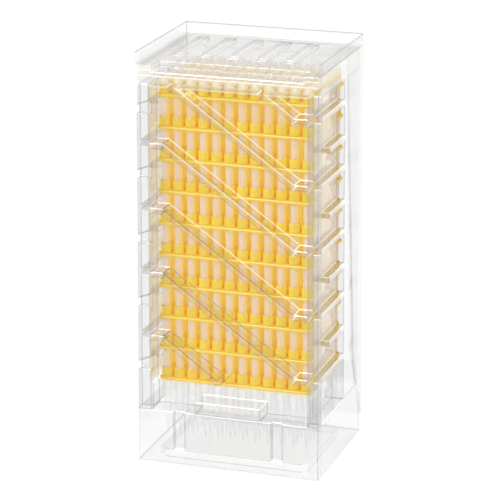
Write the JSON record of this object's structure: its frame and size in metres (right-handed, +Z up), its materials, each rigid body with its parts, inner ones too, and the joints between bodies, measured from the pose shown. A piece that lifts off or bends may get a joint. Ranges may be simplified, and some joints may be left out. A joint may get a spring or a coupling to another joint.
{
  "type": "pipette tip refill tower",
  "caption": "Clear ribbed plastic pack holding a tall stack of yellow trays of nested pipette tips, with a back cover that pulls off.",
  "frame": {"origin": "on the ground under the middle of the pack", "axes": "+Z up the tower, +Y towards the back cover, so the ribbed front faces -Y"},
  "size_m": [0.1264, 0.1014, 0.285],
  "materials": {
    "clear_sheet": "clear glossy thermoformed sheet",
    "tray_yellow": "moulded yellow plastic",
    "tip_clear": "milky see-through moulded plastic"
  },
  "bodies": {
    "loaded_shell": {"front_shell": "clear_sheet", "tray_01": "tray_yellow", "tray_02": "tray_yellow", "tray_03": "tray_yellow", "tray_04": "tray_yellow", "tray_05": "tray_yellow", "tray_06": "tray_yellow", "tray_07": "tray_yellow", "tray_08": "tray_yellow", "tray_09": "tray_yellow", "tray_10": "tray_yellow", "tips_01": "tip_clear", "tips_02": "tip_clear", "tips_03": "tip_clear", "tips_04": "tip_clear", "tips_05": "tip_clear", "tips_06": "tip_clear", "tips_07": "tip_clear", "tips_08": "tip_clear", "tips_09": "tip_clear", "tips_10": "tip_clear"},
    "cover": {"back_cover": "clear_sheet"}
  },
  "joints": [
    {"name": "cover_pull", "type": "slide", "parent": "loaded_shell", "child": "cover", "axis": [0, 1, 0], "range_m": [0, 0.112]}
  ]
}
